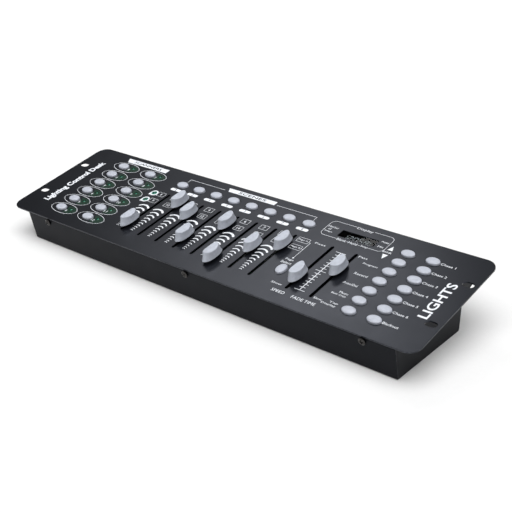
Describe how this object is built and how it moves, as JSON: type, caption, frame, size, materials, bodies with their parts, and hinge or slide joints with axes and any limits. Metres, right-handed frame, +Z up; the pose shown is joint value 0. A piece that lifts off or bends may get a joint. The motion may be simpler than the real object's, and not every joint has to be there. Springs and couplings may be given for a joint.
{
  "type": "lighting control desk",
  "caption": "Sloping rack-width lighting control desk with sliding faders, oval push buttons, a small digit display and rear signal and power sockets.",
  "frame": {"origin": "middle of the desk's outer box, on the surface it stands on", "axes": "+X to the operator's right along the panel, +Y to the rear, +Z up; the panel rises to the rear by 10.44 degrees about X"},
  "size_m": [0.4826, 0.1324, 0.0592],
  "materials": {
    "panel_black": "satin black powder coat with white screen print",
    "tray_black": "satin black powder coat",
    "key_grey": "satin light grey moulded plastic",
    "cap_grey": "satin light grey moulded plastic with fine ribs on top",
    "board_green": "green solder mask on fibreglass board",
    "display_black": "black display body",
    "window_smoke": "smoked glossy pane",
    "screw_zinc": "yellowish zinc plate",
    "socket_black": "black moulded plastic"
  },
  "bodies": {
    "root": {"face_panel": "panel_black", "base_tray": "tray_black", "scanner_board": "board_green", "fader_board": "board_green", "program_board": "board_green", "display_window": "window_smoke", "display_module": "display_black", "case_screw_front_left": "screw_zinc", "case_screw_front_middle": "screw_zinc", "case_screw_front_right": "screw_zinc", "signal_socket": "socket_black", "midi_socket": "socket_black", "dc_power_socket": "socket_black", "power_switch_housing": "socket_black"},
    "channel_fader_1_body": {"channel_fader_cap_1": "cap_grey"},
    "channel_fader_2_body": {"channel_fader_cap_2": "cap_grey"},
    "channel_fader_3_body": {"channel_fader_cap_3": "cap_grey"},
    "channel_fader_4_body": {"channel_fader_cap_4": "cap_grey"},
    "channel_fader_5_body": {"channel_fader_cap_5": "cap_grey"},
    "channel_fader_6_body": {"channel_fader_cap_6": "cap_grey"},
    "channel_fader_7_body": {"channel_fader_cap_7": "cap_grey"},
    "channel_fader_8_body": {"channel_fader_cap_8": "cap_grey"},
    "speed_fader_body": {"speed_fader_cap": "cap_grey"},
    "fade_time_fader_body": {"fade_time_fader_cap": "cap_grey"},
    "rocker_body": {"power_switch_rocker": "socket_black"},
    "scanner_button_01_body": {"scanner_button_01": "key_grey"},
    "scanner_button_02_body": {"scanner_button_02": "key_grey"},
    "scanner_button_03_body": {"scanner_button_03": "key_grey"},
    "scanner_button_04_body": {"scanner_button_04": "key_grey"},
    "scanner_button_05_body": {"scanner_button_05": "key_grey"},
    "scanner_button_06_body": {"scanner_button_06": "key_grey"},
    "scanner_button_07_body": {"scanner_button_07": "key_grey"},
    "scanner_button_08_body": {"scanner_button_08": "key_grey"},
    "scanner_button_09_body": {"scanner_button_09": "key_grey"},
    "scanner_button_10_body": {"scanner_button_10": "key_grey"},
    "scanner_button_11_body": {"scanner_button_11": "key_grey"},
    "scanner_button_12_body": {"scanner_button_12": "key_grey"},
    "scene_button_1_body": {"scene_button_1": "key_grey"},
    "scene_button_2_body": {"scene_button_2": "key_grey"},
    "scene_button_3_body": {"scene_button_3": "key_grey"},
    "scene_button_4_body": {"scene_button_4": "key_grey"},
    "scene_button_5_body": {"scene_button_5": "key_grey"},
    "scene_button_6_body": {"scene_button_6": "key_grey"},
    "scene_button_7_body": {"scene_button_7": "key_grey"},
    "scene_button_8_body": {"scene_button_8": "key_grey"},
    "page_select_button_body": {"page_select_button": "key_grey"},
    "bank_up_button_body": {"bank_up_button": "key_grey"},
    "bank_down_button_body": {"bank_down_button": "key_grey"},
    "program_button_body": {"program_button": "key_grey"},
    "midi_rec_button_body": {"midi_rec_button": "key_grey"},
    "auto_delete_button_body": {"auto_delete_button": "key_grey"},
    "music_bank_copy_button_body": {"music_bank_copy_button": "key_grey"},
    "tap_display_button_body": {"tap_display_button": "key_grey"},
    "chase_1_button_body": {"chase_1_button": "key_grey"},
    "chase_2_button_body": {"chase_2_button": "key_grey"},
    "chase_3_button_body": {"chase_3_button": "key_grey"},
    "chase_4_button_body": {"chase_4_button": "key_grey"},
    "chase_5_button_body": {"chase_5_button": "key_grey"},
    "chase_6_button_body": {"chase_6_button": "key_grey"},
    "blackout_button_body": {"blackout_button": "key_grey"}
  },
  "joints": [
    {"name": "channel_fader_1", "type": "slide", "parent": "root", "child": "channel_fader_1_body", "axis": [0, 0.9834, 0.1812], "range_m": [-0.0083, 0.0517]},
    {"name": "channel_fader_2", "type": "slide", "parent": "root", "child": "channel_fader_2_body", "axis": [0, 0.9834, 0.1812], "range_m": [-0.0556, 0.0044]},
    {"name": "channel_fader_3", "type": "slide", "parent": "root", "child": "channel_fader_3_body", "axis": [0, 0.9834, 0.1812], "range_m": [-0.0437, 0.0163]},
    {"name": "channel_fader_4", "type": "slide", "parent": "root", "child": "channel_fader_4_body", "axis": [0, 0.9834, 0.1812], "range_m": [-0.0134, 0.0466]},
    {"name": "channel_fader_5", "type": "slide", "parent": "root", "child": "channel_fader_5_body", "axis": [0, 0.9834, 0.1812], "range_m": [-0.0475, 0.0125]},
    {"name": "channel_fader_6", "type": "slide", "parent": "root", "child": "channel_fader_6_body", "axis": [0, 0.9834, 0.1812], "range_m": [-0.0007, 0.0593]},
    {"name": "channel_fader_7", "type": "slide", "parent": "root", "child": "channel_fader_7_body", "axis": [0, 0.9834, 0.1812], "range_m": [-0.0301, 0.0299]},
    {"name": "channel_fader_8", "type": "slide", "parent": "root", "child": "channel_fader_8_body", "axis": [0, 0.9834, 0.1812], "range_m": [-0.0453, 0.0147]},
    {"name": "speed_fader", "type": "slide", "parent": "root", "child": "speed_fader_body", "axis": [0, 0.9834, 0.1812], "range_m": [-0.0132, 0.0468]},
    {"name": "fade_time_fader", "type": "slide", "parent": "root", "child": "fade_time_fader_body", "axis": [0, 0.9834, 0.1812], "range_m": [-0.0372, 0.0228]},
    {"name": "power_rocker", "type": "hinge", "parent": "root", "child": "rocker_body", "pos_m": [0.19, 0.03548, 0.01523], "axis": [0, -0.0848, -0.9964], "range_deg": [0, 20]},
    {"name": "scanner_button_01_press", "type": "slide", "parent": "root", "child": "scanner_button_01_body", "axis": [0, 0.1812, -0.9834], "range_m": [0, 0.0005], "stiffness_N_per_m": 800, "springref_m": -0.0005},
    {"name": "scanner_button_02_press", "type": "slide", "parent": "root", "child": "scanner_button_02_body", "axis": [0, 0.1812, -0.9834], "range_m": [0, 0.0005], "stiffness_N_per_m": 800, "springref_m": -0.0005},
    {"name": "scanner_button_03_press", "type": "slide", "parent": "root", "child": "scanner_button_03_body", "axis": [0, 0.1812, -0.9834], "range_m": [0, 0.0005], "stiffness_N_per_m": 800, "springref_m": -0.0005},
    {"name": "scanner_button_04_press", "type": "slide", "parent": "root", "child": "scanner_button_04_body", "axis": [0, 0.1812, -0.9834], "range_m": [0, 0.0005], "stiffness_N_per_m": 800, "springref_m": -0.0005},
    {"name": "scanner_button_05_press", "type": "slide", "parent": "root", "child": "scanner_button_05_body", "axis": [0, 0.1812, -0.9834], "range_m": [0, 0.0005], "stiffness_N_per_m": 800, "springref_m": -0.0005},
    {"name": "scanner_button_06_press", "type": "slide", "parent": "root", "child": "scanner_button_06_body", "axis": [0, 0.1812, -0.9834], "range_m": [0, 0.0005], "stiffness_N_per_m": 800, "springref_m": -0.0005},
    {"name": "scanner_button_07_press", "type": "slide", "parent": "root", "child": "scanner_button_07_body", "axis": [0, 0.1812, -0.9834], "range_m": [0, 0.0005], "stiffness_N_per_m": 800, "springref_m": -0.0005},
    {"name": "scanner_button_08_press", "type": "slide", "parent": "root", "child": "scanner_button_08_body", "axis": [0, 0.1812, -0.9834], "range_m": [0, 0.0005], "stiffness_N_per_m": 800, "springref_m": -0.0005},
    {"name": "scanner_button_09_press", "type": "slide", "parent": "root", "child": "scanner_button_09_body", "axis": [0, 0.1812, -0.9834], "range_m": [0, 0.0005], "stiffness_N_per_m": 800, "springref_m": -0.0005},
    {"name": "scanner_button_10_press", "type": "slide", "parent": "root", "child": "scanner_button_10_body", "axis": [0, 0.1812, -0.9834], "range_m": [0, 0.0005], "stiffness_N_per_m": 800, "springref_m": -0.0005},
    {"name": "scanner_button_11_press", "type": "slide", "parent": "root", "child": "scanner_button_11_body", "axis": [0, 0.1812, -0.9834], "range_m": [0, 0.0005], "stiffness_N_per_m": 800, "springref_m": -0.0005},
    {"name": "scanner_button_12_press", "type": "slide", "parent": "root", "child": "scanner_button_12_body", "axis": [0, 0.1812, -0.9834], "range_m": [0, 0.0005], "stiffness_N_per_m": 800, "springref_m": -0.0005},
    {"name": "scene_button_1_press", "type": "slide", "parent": "root", "child": "scene_button_1_body", "axis": [0, 0.1812, -0.9834], "range_m": [0, 0.0005], "stiffness_N_per_m": 800, "springref_m": -0.0005},
    {"name": "scene_button_2_press", "type": "slide", "parent": "root", "child": "scene_button_2_body", "axis": [0, 0.1812, -0.9834], "range_m": [0, 0.0005], "stiffness_N_per_m": 800, "springref_m": -0.0005},
    {"name": "scene_button_3_press", "type": "slide", "parent": "root", "child": "scene_button_3_body", "axis": [0, 0.1812, -0.9834], "range_m": [0, 0.0005], "stiffness_N_per_m": 800, "springref_m": -0.0005},
    {"name": "scene_button_4_press", "type": "slide", "parent": "root", "child": "scene_button_4_body", "axis": [0, 0.1812, -0.9834], "range_m": [0, 0.0005], "stiffness_N_per_m": 800, "springref_m": -0.0005},
    {"name": "scene_button_5_press", "type": "slide", "parent": "root", "child": "scene_button_5_body", "axis": [0, 0.1812, -0.9834], "range_m": [0, 0.0005], "stiffness_N_per_m": 800, "springref_m": -0.0005},
    {"name": "scene_button_6_press", "type": "slide", "parent": "root", "child": "scene_button_6_body", "axis": [0, 0.1812, -0.9834], "range_m": [0, 0.0005], "stiffness_N_per_m": 800, "springref_m": -0.0005},
    {"name": "scene_button_7_press", "type": "slide", "parent": "root", "child": "scene_button_7_body", "axis": [0, 0.1812, -0.9834], "range_m": [0, 0.0005], "stiffness_N_per_m": 800, "springref_m": -0.0005},
    {"name": "scene_button_8_press", "type": "slide", "parent": "root", "child": "scene_button_8_body", "axis": [0, 0.1812, -0.9834], "range_m": [0, 0.0005], "stiffness_N_per_m": 800, "springref_m": -0.0005},
    {"name": "page_select_button_press", "type": "slide", "parent": "root", "child": "page_select_button_body", "axis": [0, 0.1812, -0.9834], "range_m": [0, 0.0005], "stiffness_N_per_m": 800, "springref_m": -0.0005},
    {"name": "bank_up_button_press", "type": "slide", "parent": "root", "child": "bank_up_button_body", "axis": [0, 0.1812, -0.9834], "range_m": [0, 0.0005], "stiffness_N_per_m": 800, "springref_m": -0.0005},
    {"name": "bank_down_button_press", "type": "slide", "parent": "root", "child": "bank_down_button_body", "axis": [0, 0.1812, -0.9834], "range_m": [0, 0.0005], "stiffness_N_per_m": 800, "springref_m": -0.0005},
    {"name": "program_button_press", "type": "slide", "parent": "root", "child": "program_button_body", "axis": [0, 0.1812, -0.9834], "range_m": [0, 0.0005], "stiffness_N_per_m": 800, "springref_m": -0.0005},
    {"name": "midi_rec_button_press", "type": "slide", "parent": "root", "child": "midi_rec_button_body", "axis": [0, 0.1812, -0.9834], "range_m": [0, 0.0005], "stiffness_N_per_m": 800, "springref_m": -0.0005},
    {"name": "auto_delete_button_press", "type": "slide", "parent": "root", "child": "auto_delete_button_body", "axis": [0, 0.1812, -0.9834], "range_m": [0, 0.0005], "stiffness_N_per_m": 800, "springref_m": -0.0005},
    {"name": "music_bank_copy_button_press", "type": "slide", "parent": "root", "child": "music_bank_copy_button_body", "axis": [0, 0.1812, -0.9834], "range_m": [0, 0.0005], "stiffness_N_per_m": 800, "springref_m": -0.0005},
    {"name": "tap_display_button_press", "type": "slide", "parent": "root", "child": "tap_display_button_body", "axis": [0, 0.1812, -0.9834], "range_m": [0, 0.0005], "stiffness_N_per_m": 800, "springref_m": -0.0005},
    {"name": "chase_1_button_press", "type": "slide", "parent": "root", "child": "chase_1_button_body", "axis": [0, 0.1812, -0.9834], "range_m": [0, 0.0005], "stiffness_N_per_m": 800, "springref_m": -0.0005},
    {"name": "chase_2_button_press", "type": "slide", "parent": "root", "child": "chase_2_button_body", "axis": [0, 0.1812, -0.9834], "range_m": [0, 0.0005], "stiffness_N_per_m": 800, "springref_m": -0.0005},
    {"name": "chase_3_button_press", "type": "slide", "parent": "root", "child": "chase_3_button_body", "axis": [0, 0.1812, -0.9834], "range_m": [0, 0.0005], "stiffness_N_per_m": 800, "springref_m": -0.0005},
    {"name": "chase_4_button_press", "type": "slide", "parent": "root", "child": "chase_4_button_body", "axis": [0, 0.1812, -0.9834], "range_m": [0, 0.0005], "stiffness_N_per_m": 800, "springref_m": -0.0005},
    {"name": "chase_5_button_press", "type": "slide", "parent": "root", "child": "chase_5_button_body", "axis": [0, 0.1812, -0.9834], "range_m": [0, 0.0005], "stiffness_N_per_m": 800, "springref_m": -0.0005},
    {"name": "chase_6_button_press", "type": "slide", "parent": "root", "child": "chase_6_button_body", "axis": [0, 0.1812, -0.9834], "range_m": [0, 0.0005], "stiffness_N_per_m": 800, "springref_m": -0.0005},
    {"name": "blackout_button_press", "type": "slide", "parent": "root", "child": "blackout_button_body", "axis": [0, 0.1812, -0.9834], "range_m": [0, 0.0005], "stiffness_N_per_m": 800, "springref_m": -0.0005}
  ]
}
